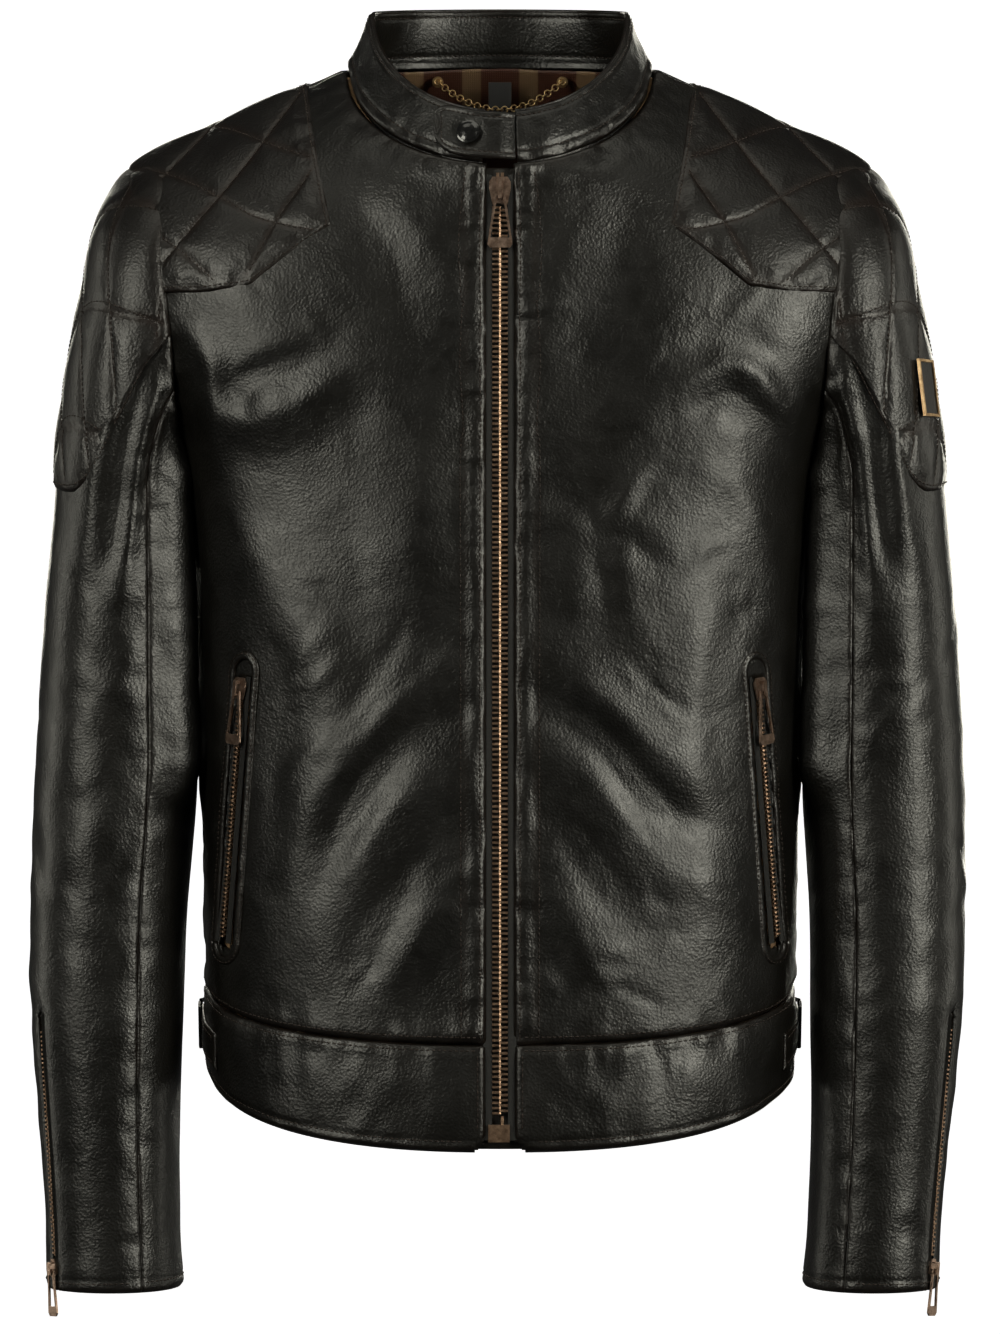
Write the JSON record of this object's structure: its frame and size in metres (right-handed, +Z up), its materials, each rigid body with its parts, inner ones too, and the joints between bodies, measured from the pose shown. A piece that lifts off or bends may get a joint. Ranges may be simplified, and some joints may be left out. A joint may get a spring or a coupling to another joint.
{
  "type": "motorcycle jacket",
  "caption": "Leather motorcycle jacket with a band collar and snap tab, quilted shoulders, a straight front zip, two upright zip pockets and zipped cuffs.",
  "frame": {"origin": "the hanger seat: on the centre plane at the height of the two neck points, where the stem of a coat hanger leaves the neck opening", "axes": "+X to the wearer's left, -Y out of the front, +Z up from hem to collar"},
  "size_m": [0.559, 0.2338, 0.7847],
  "materials": {
    "leather_black": "glossy",
    "leather_quilted": "glossy",
    "leather_collar": "glossy",
    "leather_facing": "satin",
    "lining_cloth": "satin",
    "bag_cloth": "matte",
    "tape_cloth": "matte",
    "zip_metal": "antique",
    "pull_metal": "antique",
    "snap_black": "glossy",
    "snap_metal": "satin",
    "buckle_metal": "antique",
    "badge_metal": "satin",
    "badge_leather": "satin",
    "chain_metal": "polished",
    "label_cloth": "satin"
  },
  "bodies": {
    "torso": {"front_panel_right": "leather_black", "yoke_patch_right": "leather_quilted", "waistband_front_right": "leather_black", "pocket_welt_right": "leather_black", "front_panel_left": "leather_black", "yoke_patch_left": "leather_quilted", "waistband_front_left": "leather_black", "pocket_welt_left": "leather_black", "back_panel": "leather_black", "waistband_back": "leather_black", "front_facings": "leather_facing", "body_lining": "lining_cloth", "pocket_bags": "bag_cloth", "collar_outer": "leather_collar", "collar_facing": "leather_collar", "snap_stud": "snap_metal", "main_zip_teeth_right": "zip_metal", "main_zip_tape_right": "tape_cloth", "main_zip_teeth_left": "zip_metal", "main_zip_tape_left": "tape_cloth", "main_zip_box": "zip_metal", "main_zip_pin": "zip_metal", "main_zip_stops": "zip_metal", "pocket_zip_teeth_right": "zip_metal", "pocket_zip_tape_right": "tape_cloth", "pocket_zip_teeth_left": "zip_metal", "pocket_zip_tape_left": "tape_cloth", "side_strap_right": "leather_black", "side_strap_left": "leather_black", "strap_keepers": "leather_black", "strap_buckles": "buckle_metal", "chain_anchors": "chain_metal", "neck_label": "label_cloth"},
    "sleeve_right": {"sleeve_outer_right": "leather_black", "sleeve_under_right": "leather_black", "sleeve_patch_right": "leather_quilted", "sleeve_lining_right": "lining_cloth", "cuff_zip_teeth_right": "zip_metal", "cuff_zip_tape_right": "tape_cloth"},
    "pocket_slider_right": {"pocket_slider_right": "pull_metal"},
    "pocket_pull_right": {"pocket_pull_right": "pull_metal"},
    "cuff_slider_right": {"cuff_slider_right": "pull_metal"},
    "cuff_pull_right": {"cuff_pull_right": "pull_metal"},
    "sleeve_left": {"sleeve_outer_left": "leather_black", "sleeve_under_left": "leather_black", "sleeve_patch_left": "leather_quilted", "sleeve_lining_left": "lining_cloth", "cuff_zip_teeth_left": "zip_metal", "cuff_zip_tape_left": "tape_cloth", "badge_frame": "badge_metal", "badge_plate": "badge_leather"},
    "pocket_slider_left": {"pocket_slider_left": "pull_metal"},
    "pocket_pull_left": {"pocket_pull_left": "pull_metal"},
    "cuff_slider_left": {"cuff_slider_left": "pull_metal"},
    "cuff_pull_left": {"cuff_pull_left": "pull_metal"},
    "main_slider": {"main_slider": "pull_metal"},
    "main_pull": {"main_pull": "pull_metal"},
    "collar_tab": {"collar_tab": "leather_collar", "snap_cap": "snap_black"},
    "hang_chain": {"hang_chain": "chain_metal"}
  },
  "joints": [
    {"name": "main_zip_slide", "type": "slide", "parent": "torso", "child": "main_slider", "axis": [0, -0.0459, -0.9989], "range_m": [0, 0.529], "deforming": ["main_zip_teeth_right", "main_zip_teeth_left"]},
    {"name": "main_pull_swing", "type": "hinge", "parent": "main_slider", "child": "main_pull", "pos_m": [0, -0.0943, -0.08053], "axis": [-1, 0, 0], "range_deg": [0, 95]},
    {"name": "pocket_zip_slide_right", "type": "slide", "parent": "torso", "child": "pocket_slider_right", "axis": [-0.0795, 0.0971, -0.9921], "range_m": [0, 0.1425], "deforming": ["pocket_zip_teeth_right"]},
    {"name": "pocket_pull_swing_right", "type": "hinge", "parent": "pocket_slider_right", "child": "pocket_pull_right", "pos_m": [-0.1542, -0.07006, -0.36955], "axis": [-0.6545, 0.7456, 0.1254], "range_deg": [0, 95]},
    {"name": "pocket_zip_slide_left", "type": "slide", "parent": "torso", "child": "pocket_slider_left", "axis": [0.0795, 0.0971, -0.9921], "range_m": [0, 0.1425], "deforming": ["pocket_zip_teeth_left"]},
    {"name": "pocket_pull_swing_left", "type": "hinge", "parent": "pocket_slider_left", "child": "pocket_pull_left", "pos_m": [0.1542, -0.07006, -0.36955], "axis": [-0.6545, -0.7456, -0.1254], "range_deg": [0, 95]},
    {"name": "sleeve_swing_right", "type": "hinge", "parent": "torso", "child": "sleeve_right", "pos_m": [-0.222, 0, -0.045], "axis": [0, 1, 0], "range_deg": [0, 20]},
    {"name": "cuff_zip_slide_right", "type": "slide", "parent": "sleeve_right", "child": "cuff_slider_right", "axis": [-0.0609, 0.0492, 0.9969], "range_m": [0, 0.1365], "deforming": ["cuff_zip_teeth_right"]},
    {"name": "cuff_pull_swing_right", "type": "hinge", "parent": "cuff_slider_right", "child": "cuff_pull_right", "pos_m": [-0.26465, -0.05184, -0.71054], "axis": [-0.5898, 0.804, -0.0757], "range_deg": [0, 95]},
    {"name": "sleeve_swing_left", "type": "hinge", "parent": "torso", "child": "sleeve_left", "pos_m": [0.222, 0, -0.045], "axis": [0, -1, 0], "range_deg": [0, 20]},
    {"name": "cuff_zip_slide_left", "type": "slide", "parent": "sleeve_left", "child": "cuff_slider_left", "axis": [0.0869, 0.0491, 0.995], "range_m": [0, 0.1365], "deforming": ["cuff_zip_teeth_left"]},
    {"name": "cuff_pull_swing_left", "type": "hinge", "parent": "cuff_slider_left", "child": "cuff_pull_left", "pos_m": [0.25652, -0.05183, -0.71035], "axis": [-0.5861, -0.8051, 0.0909], "range_deg": [0, 95]},
    {"name": "collar_tab_swing", "type": "hinge", "parent": "torso", "child": "collar_tab", "pos_m": [0.00922, -0.08871, -0.04464], "axis": [0, 0.3302, 0.9439], "range_deg": [0, 100]},
    {"name": "hang_chain_swing", "type": "hinge", "parent": "torso", "child": "hang_chain", "pos_m": [0, 0.05, 0.002], "axis": [-1, 0, 0], "range_deg": [0, 25]}
  ]
}
